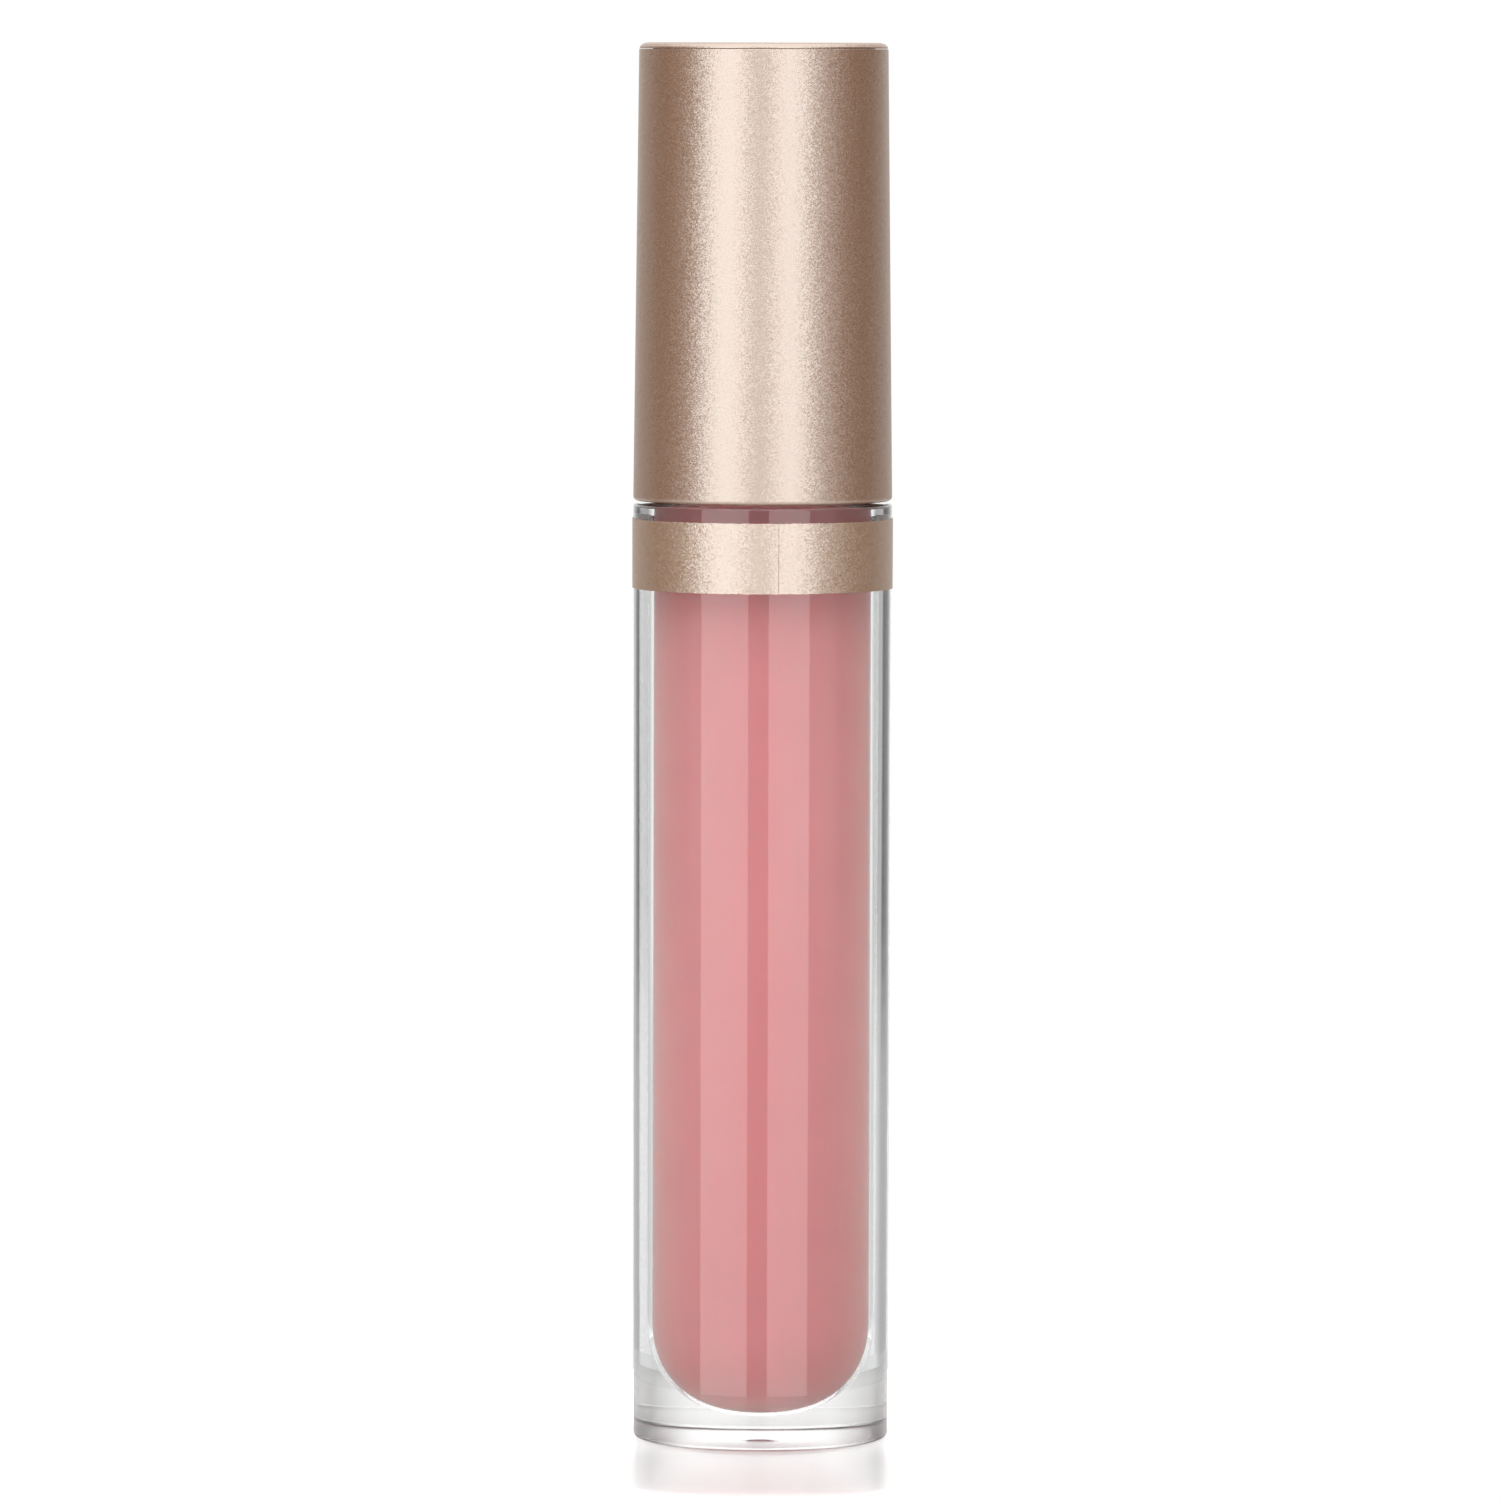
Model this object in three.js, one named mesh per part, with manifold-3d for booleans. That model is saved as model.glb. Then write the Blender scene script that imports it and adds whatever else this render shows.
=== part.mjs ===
// Lip gloss tube: a thick clear bottle with a foil band and pink fill, closed by a screw cap
// that carries a wand. Millimetres, +Z up, origin at the centre of the base, +Y to the back.

import * as THREE from "three";
import { mergeVertices } from "three/addons/utils/BufferGeometryUtils.js";
import Module from "manifold-3d";

const wasm = await Module();
wasm.setup();

// ---- Driving dimensions ----

const FACETS = 48; // sides of every round piece

// Bottle
const SHOULDER_Z = 70.0; // height of the shoulder
const BODY_TAPER = 0.00171; // radius lost in each millimetre down from the shoulder
const BASE_EDGE = 0.45; // rounding of the bottom edge
const SHOULDER_EDGE = 0.25; // rounding of the shoulder's edge
const CAVITY_R = 5.42; // radius of the straight cavity
const FLOOR = 1.9; // clear plastic under the cavity
const DOME_HEIGHT = 7.0; // height of the cavity's domed end
const DOME_POWER = 2.4; // 2 makes the dome a plain ellipse, and more makes it squarer
const GATE_R = 1.0; // recess of the moulding gate, under the base
const GATE_DEPTH = 0.25;

// Neck and its screw thread
const NECK_HEIGHT = 13.6; // above the shoulder
const NECK_WALL = 1.28; // from the cavity to the thread's root
const NECK_EDGE = 0.3;
const THREAD_BEAD = 0.55; // radius of the round thread, on the neck and in the liner
const THREAD_RISE = 0.05; // how far the bead's centre stands outside the neck
const THREAD_LEAD = 6.0; // rise in one turn
const THREAD_STARTS = 2;
const THREAD_TURNS = 1.0; // turns of each start
const THREAD_FOOT = 3.4; // from the shoulder to the thread's lowest point
const THREAD_CLEARANCE = 0.15; // between neck thread and liner bore
const FLANK_CLEARANCE = 0.12; // between the two threads

// Foil band
const BAND_TOP = 1.12; // from the shoulder down to the band
const BAND_HEIGHT = 5.21;
const BAND_THICKNESS = 0.06;
const BAND_GLUE = 0.02; // between foil and bottle
const BAND_SLIT = 0.15; // width of the butt seam
const BAND_SLIT_ANGLE = 7; // degrees from the front towards +X

// Cap
const CAP_GAP = 0.2; // between shoulder and cap
const CAP_LENGTH = 34.07; // over the shell and the end disc
const CAP_OVERHANG = 0.01; // of the shell over the shoulder
const CAP_TAPER = 0.0114; // radius lost in each millimetre of height
const CAP_WALL = 0.95;
const CAP_EDGE = 0.3; // rounding of the open rim
const DISC_RIM = 0.44; // height of the end disc's bevel above the shell
const DISC_BEVEL = 0.55; // how far the bevel runs in
const DISC_STEP = 0.05; // how far the disc's edge stands in from the shell
const DISC_SEAM = 0.03; // open seam between disc and shell
const PLUG_DEPTH = 1.6; // of the disc into the shell
const CAP_FIT = 0.05; // radial fit of what sits in the shell

// Liner
const LINER_WALL = 0.75; // outside the thread bore
const LINER_SETBACK = 0.25; // of its foot above the shell's rim
const LINER_RIM = 1.0; // thickness of the foot flange
const LINER_CEILING = 1.6;
const SEAL_GAP = 0.15; // between the wiper and the ceiling
const RIBS = 12; // round the liner, pressed into the shell
const RIB_DEPTH = 0.28; // at their top
const RIB_WIDTH = 0.8;
const SOCKET_DEPTH = 7.4; // of the rod above the ceiling's underside
const SOCKET_WALL = 1.5;

// Wiper
const WIPER_FLANGE = 0.8; // thickness on the neck's rim
const WIPER_LENGTH = 12.0; // from the flange's top to the lip
const WIPER_WALL = 0.7;
const WIPER_FIT = 0.05; // to the neck's bore
const ORIFICE_CLEARANCE = 0.06; // between the lip and the rod
const LIP_THICKNESS = 0.5;
const WIPER_CONE = 4.5; // height of the cone that leads to the lip

// Wand
const ROD_R = 2.0;
const ROD_FIT = 0.05; // in its socket
const TIP_WIDTH = 5.0; // over the flocking, side to side
const TIP_THICKNESS = 3.6; // over the flocking, front to back
const TIP_LENGTH = 15.0;
const TIP_FOOT = 1.6; // from the cavity's floor to the tip
const TIP_SLANT = 38; // degrees between the wiping face and the wand's axis
const FLOCK = 0.4; // thickness of the flocking
const FLOCK_FIT = 0.1; // between flocking and core
const SPIGOT_R = 1.0; // of the core, in the rod
const SPIGOT_LENGTH = 4.0;
const SPIGOT_FIT = 0.1;

// Fill
const FILL_OVER_SHOULDER = 0.8; // height of the surface above the shoulder
const FILL_GAP = 0.03; // between the fill and the bottle
const FILL_CLEAR = 0.3; // round the wand

// ---- Derived places ----

const neckTop = SHOULDER_Z + NECK_HEIGHT;
const wiperTop = neckTop + WIPER_FLANGE;
const neckR = CAVITY_R + NECK_WALL;
const wiperLipR = ROD_R + ORIFICE_CLEARANCE;
const threadR = neckR + THREAD_RISE;
const linerBoreR = threadR + THREAD_BEAD + THREAD_CLEARANCE;
const linerWallR = linerBoreR + LINER_WALL;
const ribR = linerWallR + RIB_DEPTH;
const capFoot = SHOULDER_Z + CAP_GAP;
const capTop = capFoot + CAP_LENGTH;
const shellTop = capTop - DISC_RIM - DISC_SEAM;
const linerFoot = capFoot + LINER_SETBACK;
const ceilingFoot = wiperTop + SEAL_GAP;
const ceilingTop = ceilingFoot + LINER_CEILING;
const rodTop = ceilingFoot + SOCKET_DEPTH;
const tipFoot = FLOOR + TIP_FOOT;
const tipTop = tipFoot + TIP_LENGTH;
const fillTop = SHOULDER_Z + FILL_OVER_SHOULDER;

// The radii follow one another outwards: cavity, neck, threads, liner, shell, bottle.
const shellBoreR = (z) => ribR + CAP_FIT + CAP_TAPER * (ceilingTop - z);
const shellR = (z) => shellBoreR(z) + CAP_WALL;
const bodyR = (z) => shellR(capFoot) - CAP_OVERHANG - BODY_TAPER * (SHOULDER_Z - z);

// ---- Helpers ----

// Points on an ellipse about (r, z), from one angle to another in degrees. A power over 2 makes it squarer.
function arc(r, z, a, b, from, to, steps, power = 2) {
  const swell = (x) => Math.sign(x) * Math.abs(x) ** (2 / power);
  return Array.from({ length: steps + 1 }, (_, i) => {
    const t = THREE.MathUtils.degToRad(from + ((to - from) * i) / steps);
    return [r + a * swell(Math.cos(t)), z + b * swell(Math.sin(t))];
  });
}

// A profile of [radius, height] turned about Z. It runs anticlockwise round the material.
function turned(profile, facets = FACETS) {
  const points = profile.map(([r, z]) => new THREE.Vector2(Math.abs(r) < 1e-9 ? 0 : r, z));
  return new THREE.LatheGeometry(points, facets).rotateX(Math.PI / 2);
}

// The same for a ring, whose profile closes on itself.
const turnedRing = (profile, facets) => turned([...profile, profile[0]], facets);

function toSolid(geometry) {
  const bare = geometry.clone();
  for (const name of Object.keys(bare.attributes)) if (name !== "position") bare.deleteAttribute(name);
  const merged = mergeVertices(bare, 1e-4);
  return new wasm.Manifold(
    new wasm.Mesh({
      numProp: 3,
      vertProperties: new Float32Array(merged.attributes.position.array),
      triVerts: new Uint32Array(merged.index.array),
    }),
  );
}

function toGeometry(solid) {
  const mesh = solid.getMesh();
  const geometry = new THREE.BufferGeometry();
  geometry.setAttribute("position", new THREE.BufferAttribute(mesh.vertProperties, 3));
  geometry.setIndex(new THREE.BufferAttribute(mesh.triVerts, 1));
  geometry.computeVertexNormals();
  return geometry;
}

function box(width, depth, height) {
  return new THREE.BoxGeometry(width, depth, height);
}

class Helix extends THREE.Curve {
  constructor(radius, foot, startAngle) {
    super();
    Object.assign(this, { radius, foot, startAngle });
  }

  getPoint(t, target = new THREE.Vector3()) {
    const turn = this.startAngle + 2 * Math.PI * THREAD_TURNS * t;
    const z = this.foot + THREAD_LEAD * THREAD_TURNS * t;
    return target.set(this.radius * Math.cos(turn), this.radius * Math.sin(turn), z);
  }
}

// A right-hand multi-start thread of round section, as one solid for each start.
function threadSolids(radius, foot) {
  const section = new THREE.Shape().absarc(0, 0, THREAD_BEAD, 0, 2 * Math.PI);
  return Array.from({ length: THREAD_STARTS }, (_, i) =>
    toSolid(
      new THREE.ExtrudeGeometry(section, {
        extrudePath: new Helix(radius, foot, (2 * Math.PI * i) / THREAD_STARTS),
        steps: Math.round(24 * THREAD_TURNS),
        curveSegments: 4,
        bevelEnabled: false,
      }),
    ),
  );
}

function piece(name, geometry, color, roughness, metalness, extra = {}) {
  const material = new THREE.MeshStandardMaterial({ color, roughness, metalness, ...extra });
  const mesh = new THREE.Mesh(geometry, material);
  mesh.name = name;
  return mesh;
}

// ---- Sub-parts ----

// Half of the cavity's section, from the axis up its domed end to a height.
function cavityProfile(inset, top) {
  const dome = arc(0, FLOOR + DOME_HEIGHT, CAVITY_R - inset, DOME_HEIGHT - inset, -90, 0, 9, DOME_POWER);
  return [...dome, [CAVITY_R - inset, top]];
}

function bottle() {
  const shoulderR = bodyR(SHOULDER_Z) - SHOULDER_EDGE;
  const outside = [
    ...arc(0, 0, GATE_R, GATE_DEPTH, 90, 0, 3),
    ...arc(bodyR(0) - BASE_EDGE, BASE_EDGE, BASE_EDGE, BASE_EDGE, -90, 0, 3),
    ...arc(shoulderR, SHOULDER_Z - SHOULDER_EDGE, SHOULDER_EDGE, SHOULDER_EDGE, 0, 90, 2),
    [neckR, SHOULDER_Z],
    [neckR, neckTop - NECK_EDGE],
    [neckR - NECK_EDGE, neckTop],
  ];
  const body = toSolid(turned([...outside, ...cavityProfile(0, neckTop).reverse()]));
  const threads = threadSolids(threadR, SHOULDER_Z + THREAD_FOOT);
  return toGeometry(threads.reduce((whole, thread) => whole.add(thread), body));
}

function shoulderBand() {
  const top = SHOULDER_Z - BAND_TOP;
  const foot = top - BAND_HEIGHT;
  const inner = (z) => bodyR(z) + BAND_GLUE;
  const ring = toSolid(
    turnedRing([
      [inner(foot), foot],
      [inner(foot) + BAND_THICKNESS, foot],
      [inner(top) + BAND_THICKNESS, top],
      [inner(top), top],
    ]),
  );
  const slit = box(BAND_SLIT, 4, BAND_HEIGHT + 2)
    .translate(0, -inner(foot), (top + foot) / 2)
    .rotateZ(THREE.MathUtils.degToRad(BAND_SLIT_ANGLE));
  return toGeometry(ring.subtract(toSolid(slit)));
}

function glossFill() {
  const tipR = TIP_WIDTH / 2 + FILL_CLEAR;
  const rodR = ROD_R + FILL_CLEAR;
  return turned([
    ...cavityProfile(FILL_GAP, fillTop),
    [rodR, fillTop],
    [rodR, tipTop + FILL_CLEAR],
    [tipR, tipTop + FILL_CLEAR],
    [tipR, tipFoot + TIP_THICKNESS / 2],
    [tipR * 0.7, tipFoot - FILL_CLEAR],
    [0, tipFoot - FILL_CLEAR],
  ]);
}

function wiper() {
  const sleeveR = CAVITY_R - WIPER_FIT;
  const innerR = sleeveR - WIPER_WALL;
  const lip = wiperTop - WIPER_LENGTH;
  return turnedRing([
    [wiperLipR, lip],
    [wiperLipR + LIP_THICKNESS, lip],
    [sleeveR, lip + WIPER_CONE],
    [sleeveR, neckTop],
    [neckR - NECK_EDGE, neckTop],
    [neckR - NECK_EDGE, wiperTop],
    [innerR + 0.3, wiperTop],
    [innerR, wiperTop - 0.3],
    [innerR, lip + WIPER_CONE + WIPER_WALL],
    [wiperLipR, lip + WIPER_WALL],
  ]);
}

function capShell() {
  const rimR = shellR(capFoot) - CAP_EDGE;
  return turnedRing([
    [shellBoreR(capFoot), capFoot],
    ...arc(rimR, capFoot + CAP_EDGE, CAP_EDGE, CAP_EDGE, -90, 0, 3),
    [shellR(shellTop), shellTop],
    [shellBoreR(shellTop), shellTop],
  ]);
}

function capTopDisc() {
  const edgeR = shellR(shellTop) - DISC_STEP;
  const plugR = shellBoreR(shellTop) - CAP_FIT;
  const seat = shellTop + DISC_SEAM;
  return turned([
    [0, seat - PLUG_DEPTH],
    [plugR, seat - PLUG_DEPTH],
    [plugR, seat],
    [edgeR, seat],
    [edgeR, seat + DISC_RIM * 0.2],
    [edgeR - DISC_BEVEL * 0.35, seat + DISC_RIM * 0.75],
    [edgeR - DISC_BEVEL, capTop],
    [0, capTop],
  ]);
}

// How far the liner's thread sits under the neck's, so that their flanks just clear.
function threadOffset() {
  const apart = 2 * THREAD_BEAD + FLANK_CLEARANCE;
  const across = linerBoreR - threadR;
  const slope = Math.atan2(THREAD_LEAD, 2 * Math.PI * threadR);
  return Math.sqrt(apart * apart - across * across) / Math.cos(slope);
}

function innerCap() {
  const socketR = ROD_R + ROD_FIT;
  const rimR = shellBoreR(linerFoot + LINER_RIM) - CAP_FIT;
  const cup = toSolid(
    turned([
      [0, rodTop + ROD_FIT],
      [socketR, rodTop + ROD_FIT],
      [socketR, ceilingFoot],
      [linerBoreR, ceilingFoot],
      [linerBoreR, linerFoot],
      [rimR, linerFoot],
      [rimR, linerFoot + LINER_RIM],
      [linerWallR, linerFoot + LINER_RIM],
      [linerWallR, ceilingTop],
      [socketR + SOCKET_WALL, ceilingTop],
      [socketR + SOCKET_WALL, rodTop + SOCKET_WALL],
      [0, rodTop + SOCKET_WALL],
    ]),
  );
  const ribHeight = ceilingTop - linerFoot - LINER_RIM / 2;
  const ribDepth = ribR - linerWallR + LINER_WALL / 2;
  const ribs = Array.from({ length: RIBS }, (_, i) =>
    toSolid(
      box(ribDepth, RIB_WIDTH, ribHeight)
        .translate(ribR - ribDepth / 2, 0, ceilingTop - ribHeight / 2)
        .rotateZ((2 * Math.PI * i) / RIBS),
    ),
  );
  const threads = threadSolids(linerBoreR, SHOULDER_Z + THREAD_FOOT - threadOffset());
  return toGeometry([...ribs, ...threads].reduce((whole, part) => whole.add(part), cup));
}

function applicatorRod() {
  const boreR = SPIGOT_R + SPIGOT_FIT;
  const boreTop = tipTop + SPIGOT_LENGTH + SPIGOT_FIT;
  return turned(
    [
      [0, boreTop],
      [boreR, boreTop],
      [boreR, tipTop + SPIGOT_FIT],
      [ROD_R, tipTop + SPIGOT_FIT],
      [ROD_R, rodTop - 0.3],
      [ROD_R - 0.3, rodTop],
      [0, rodTop],
    ],
    24,
  );
}

// The doe-foot shape, shrunk all round by an inset: a flattened round-ended rod with a slanted face.
function doeFoot(inset, top) {
  const a = TIP_WIDTH / 2 - inset;
  const b = TIP_THICKNESS / 2 - inset;
  const foot = tipFoot + inset;
  const end = arc(0, foot + b, 1, b, -90, 0, 5);
  const blank = turned([...end, [1, top - b / 2], [0.8, top], [0, top]], 24).scale(a, b, 1);
  const slant = THREE.MathUtils.degToRad(TIP_SLANT);
  const knife = box(20, 10, 30)
    .translate(0, -5 + inset / 2, 0)
    .rotateX(slant)
    .translate(0, -b * 0.35, foot + b / 2);
  return toSolid(blank).subtract(toSolid(knife));
}

function applicatorTip() {
  const core = doeFoot(FLOCK + FLOCK_FIT, tipTop);
  const spigot = turned(
    [
      [0, tipTop - 1],
      [SPIGOT_R, tipTop - 1],
      [SPIGOT_R, tipTop + SPIGOT_LENGTH],
      [0, tipTop + SPIGOT_LENGTH],
    ],
    24,
  );
  return toGeometry(core.add(toSolid(spigot)));
}

function tipFlocking() {
  return toGeometry(doeFoot(0, tipTop - 0.4).subtract(doeFoot(FLOCK, tipTop + 1)));
}

// ---- Assembly ----

const CHAMPAGNE = 0xc9a893;

const tube = new THREE.Group();
tube.name = "lip_gloss_tube";
tube.add(
  piece("bottle", bottle(), 0xf4f6f7, 0.04, 0, { transparent: true, opacity: 0.35 }),
  piece("shoulder_band", shoulderBand(), CHAMPAGNE, 0.42, 0.85),
  piece("gloss_fill", glossFill(), 0xd98a8c, 0.2, 0),
  piece("wiper", wiper(), 0xf0efec, 0.45, 0, { transparent: true, opacity: 0.8 }),
  piece("cap_shell", capShell(), CHAMPAGNE, 0.38, 0.85),
  piece("cap_top_disc", capTopDisc(), CHAMPAGNE, 0.38, 0.85),
  piece("inner_cap", innerCap(), 0xeae6e1, 0.4, 0),
  piece("applicator_rod", applicatorRod(), 0xf2f0ee, 0.3, 0),
  piece("applicator_tip", applicatorTip(), 0xf2f0ee, 0.4, 0),
  piece("tip_flocking", tipFlocking(), 0xf4e3e1, 0.9, 0),
);

export default tube;
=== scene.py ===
"""Looks and studio for the lip gloss tube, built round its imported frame."""

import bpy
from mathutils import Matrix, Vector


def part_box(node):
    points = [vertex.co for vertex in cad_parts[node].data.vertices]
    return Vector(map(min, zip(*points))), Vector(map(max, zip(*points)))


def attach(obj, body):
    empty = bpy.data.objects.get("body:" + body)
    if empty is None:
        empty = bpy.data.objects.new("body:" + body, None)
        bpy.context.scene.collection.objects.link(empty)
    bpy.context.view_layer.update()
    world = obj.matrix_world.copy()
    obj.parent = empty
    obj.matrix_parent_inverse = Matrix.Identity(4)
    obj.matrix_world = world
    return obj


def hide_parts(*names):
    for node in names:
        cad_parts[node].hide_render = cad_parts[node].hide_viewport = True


bl_info = {
    "name": "Lip gloss tube",
    "version": (1, 0, 0),
    "blender": (4, 5, 0),
    "location": "3D View > Sidebar > Lip gloss",
    "description": "Builds a clear lip gloss tube with a satin cap, a foil band and a wand",
    "category": "Add Mesh",
}

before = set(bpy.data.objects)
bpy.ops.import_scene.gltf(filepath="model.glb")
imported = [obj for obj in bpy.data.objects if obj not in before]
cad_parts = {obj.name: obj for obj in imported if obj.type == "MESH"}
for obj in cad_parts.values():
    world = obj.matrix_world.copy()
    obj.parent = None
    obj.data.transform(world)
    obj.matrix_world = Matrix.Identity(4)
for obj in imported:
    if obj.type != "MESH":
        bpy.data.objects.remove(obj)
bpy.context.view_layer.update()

import math

import bmesh
import bpy
from bpy.props import FloatProperty, FloatVectorProperty, IntProperty, PointerProperty
from mathutils import Matrix, Vector, noise

MM = 0.001
SAME = 1e-6  # lengths closer than this are the same

# Clearances, as in the frame
CAP_GAP = 0.2 * MM  # shoulder to cap
GLUE = 0.02 * MM  # bottle to band
FILL_GAP = 0.03 * MM  # bottle to gloss
CHANNEL = 0.3 * MM  # gloss to wand
SOCKET_GAP = 0.05 * MM  # rod to liner, and core to rod
LIP_GAP = 0.06 * MM  # rod to wiper
SEAL_GAP = 0.15 * MM  # wiper to liner
DISC_GAP = 0.03 * MM  # cap's shell to its end disc
FIT = 0.05 * MM  # wiper in the bore, and end disc's plug in the shell

# Refraction
PETG = 1.57
GLOSS = 1.5
PEARL = 2.35

# Camera: lens and sensor in millimetres, turns in degrees
LENS, SENSOR = 247.8, 36.0
CAMERA_AT = (-0.9 * MM, -770 * MM, 104 * MM)
CAMERA_DIP, CAMERA_ROLL = 3.9, 0.15

# Softboxes: name, degrees from the front, width in metres, watts
SOFTBOXES = (("Left softbox", -34.2, 0.72, 6.8), ("Right softbox", 24.0, 0.6, 5.6))
SOFTBOX_DISTANCE, SOFTBOX_TALL, SOFTBOX_LIFT = 0.9, 1.5, 0.55

# Plinth
PLINTH_RADIUS, PLINTH_THICK, PLINTH_GAP = 0.04, 4 * MM, 0.05 * MM

# Light round the tube, as (degrees from straight behind, strength): the sheet behind it, the same lower down, the
# table's reflected light, and what is above
FAR = (
    (-180, 0.45), (-150, 0.6), (-116, 0.45), (-107, 0.04), (-84, 0.12), (-80, 0.1), (-75, 0.0), (-65.5, 0.0),
    (-63, 0.5), (-57, 0.42), (-50, 0.4), (-41, 0.38), (-30, 0.55), (-20, 1.0), (20, 1.0), (30, 0.65),
    (41, 0.55), (50, 0.48), (56, 0.38), (62, 0.4), (67, 0.36), (69.5, 0.0), (76, 0.0), (81, 0.1),
    (85, 0.1), (106, 0.04), (116, 0.6), (150, 0.6), (180, 0.45),
)  # fmt: skip
NEAR = (
    (-180, 0.3), (-110, 0.3), (-75, 0.36), (-66, 0.42), (-59, 0.7), (-35, 0.62), (-20, 0.75),
    (20, 0.75), (35, 0.62), (53, 0.6), (65, 0.6), (70, 0.42), (76, 0.36), (110, 0.3), (180, 0.3),
)  # fmt: skip
BELOW = (
    (-180, 1.0), (-120, 1.3), (-95, 0.8), (-60, 0.2), (-30, 1.2), (30, 1.2), (60, 0.2), (95, 0.7),
    (120, 1.3), (180, 1.0),
)  # fmt: skip
ABOVE = (
    (-180, 0.6), (-150, 0.6), (-116, 0.45), (-107, 0.02), (-60, 0.05), (-27, 1.2), (27, 1.2), (52, 0.03),
    (106, 0.02), (116, 0.6), (150, 0.6), (180, 0.6),
)  # fmt: skip
OVERHEAD = 2.1


# ---- Colour and sizes -------------------------------------------------------------------------


def linear(code):
    """A colour's sRGB hex code as linear red, green and blue."""
    parts = [int(code[i : i + 2], 16) / 255 for i in (0, 2, 4)]
    return [c / 12.92 if c <= 0.04045 else ((c + 0.055) / 1.055) ** 2.4 for c in parts]


def length(name, description, default):
    return FloatProperty(name=name, description=description, default=default, min=0, unit="LENGTH", precision=5)


def colour(name, description, code):
    return FloatVectorProperty(
        name=name, description=description, default=linear(code), size=3, min=0, max=1, subtype="COLOR"
    )


def top_of(node):
    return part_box(node)[1].z


def foot_of(node):
    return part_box(node)[0].z


def radius_of(node):
    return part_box(node)[1].x


class LipGlossSizes(bpy.types.PropertyGroup):
    """Sizes that are finer than the frame, or that the frame's boxes give."""

    facets: IntProperty(name="Facets", description="Sides of each round piece", default=256, min=32)
    shoulder: length("Shoulder", "Height of the bottle's shoulder", foot_of("cap_shell") - CAP_GAP)
    body_radius: length("Body radius", "Outer radius at the shoulder", radius_of("bottle"))
    body_taper: FloatProperty(name="Body taper", description="Radius lost for each unit of height", default=0.00171)
    base_edge: length("Base edge", "Rounding of the bottom edge", 0.3 * MM)
    shoulder_edge: length("Shoulder edge", "Rounding of the shoulder", 0.25 * MM)
    cavity_radius: length("Cavity radius", "Radius of the straight cavity", 5.42 * MM)
    cavity_floor: length("Cavity floor", "Clear plastic under the cavity", 1.9 * MM)
    dome: length("Dome", "Height of the cavity's rounded end", 7 * MM)
    dome_power: FloatProperty(
        name="Dome power", description="2 is an ellipse, and more is squarer", default=2.4, min=2
    )
    gate_radius: length("Gate radius", "Radius of the gate recess under the base", 1.0 * MM)
    gate_depth: length("Gate depth", "Depth of the gate recess", 0.25 * MM)
    neck_radius: length("Neck radius", "Radius of the neck at the thread's root", 6.7 * MM)
    thread_height: length("Thread height", "How far the thread stands out", 0.6 * MM)
    thread_width: length("Thread width", "Width of the thread at its root", 1.25 * MM)
    thread_lead: length("Thread lead", "Rise of the thread in one turn", 6 * MM)
    thread_foot: length("Thread foot", "Height of the thread's start above the shoulder", 3.4 * MM)
    cap_taper: FloatProperty(name="Cap taper", description="Radius lost for each unit of height", default=0.0114)
    cap_wall: length("Cap wall", "Thickness of the cap's shell", 0.95 * MM)
    cap_edge: length("Cap edge", "Rounding of the cap's open rim", 0.3 * MM)
    band_slit: length("Band slit", "Width of the foil's butt seam at its foot", 0.035 * MM)
    band_seam: FloatProperty(
        name="Band seam", description="Where the seam is, from the front", default=math.radians(7), subtype="ANGLE"
    )


class LipGlossColours(bpy.types.PropertyGroup):
    """Colours of the finishes."""

    gloss: colour("Gloss", "The pink product", "DE9597")
    lacquer: colour("Lacquer", "The champagne of the cap, under its sheen", "784F31")
    foil: colour("Foil", "The champagne of the band, under its sheen", "855F41")
    liner: colour("Liner", "The liner in the cap", "EFEBE6")
    rod: colour("Rod", "The rod and the doe-foot core", "C9C6C0")
    wiper: colour("Wiper", "The wiper", "DAD9D5")
    floor: colour("Floor", "The studio's floor", "BEBDBC")


# ---- Mesh work --------------------------------------------------------------------------------


def arc(r, z, a, b, start, end, steps, power=2):
    """Points on an ellipse about (r, z), from one angle to another in degrees. A power over 2 makes it squarer."""

    def swell(x):
        return math.copysign(abs(x) ** (2 / power), x)

    turns = (math.radians(start + (end - start) * i / steps) for i in range(steps + 1))
    return [(r + a * swell(math.cos(t)), z + b * swell(math.sin(t))) for t in turns]


def rounded(corners, closed=False, steps=6):
    """A profile through (r, z, fillet radius) corners, with each fillet as an arc."""
    count, made = len(corners), []
    for i, (r, z, fillet) in enumerate(corners):
        here = Vector((r, z))
        back = Vector(corners[i - 1][:2]) - here
        on = Vector(corners[(i + 1) % count][:2]) - here
        end = not closed and i in (0, count - 1)
        if end or fillet <= 0 or back.angle(on) > math.pi - 0.02:
            made.append((r, z))
            continue
        half = back.angle(on) / 2
        reach = min(fillet / math.tan(half), 0.48 * back.length, 0.48 * on.length)
        back.normalize()
        on.normalize()
        radius = reach * math.tan(half)
        centre = here + (back + on).normalized() * (radius / math.sin(half))
        first, last = here + back * reach - centre, here + on * reach - centre
        sweep = first.angle(last)
        for k in range(steps + 1):
            t = k / steps
            spoke = (first * math.sin((1 - t) * sweep) + last * math.sin(t * sweep)) / math.sin(sweep)
            made.append(tuple(centre + spoke))
    return made


def held(profile, closed=False, near=0.06 * MM, long=0.5 * MM):
    """The profile with a loop close to each end of its long straight runs, so that flats shade flat."""
    made = []
    for (r, z), (r2, z2) in zip(profile, profile[1:] + (profile[:1] if closed else [])):
        made.append((r, z))
        run = math.hypot(r2 - r, z2 - z)
        if run > long:
            for t in (near / run, 1 - near / run):
                made.append((r + (r2 - r) * t, z + (z2 - z) * t))
    return made if closed else made + [profile[-1]]


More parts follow.
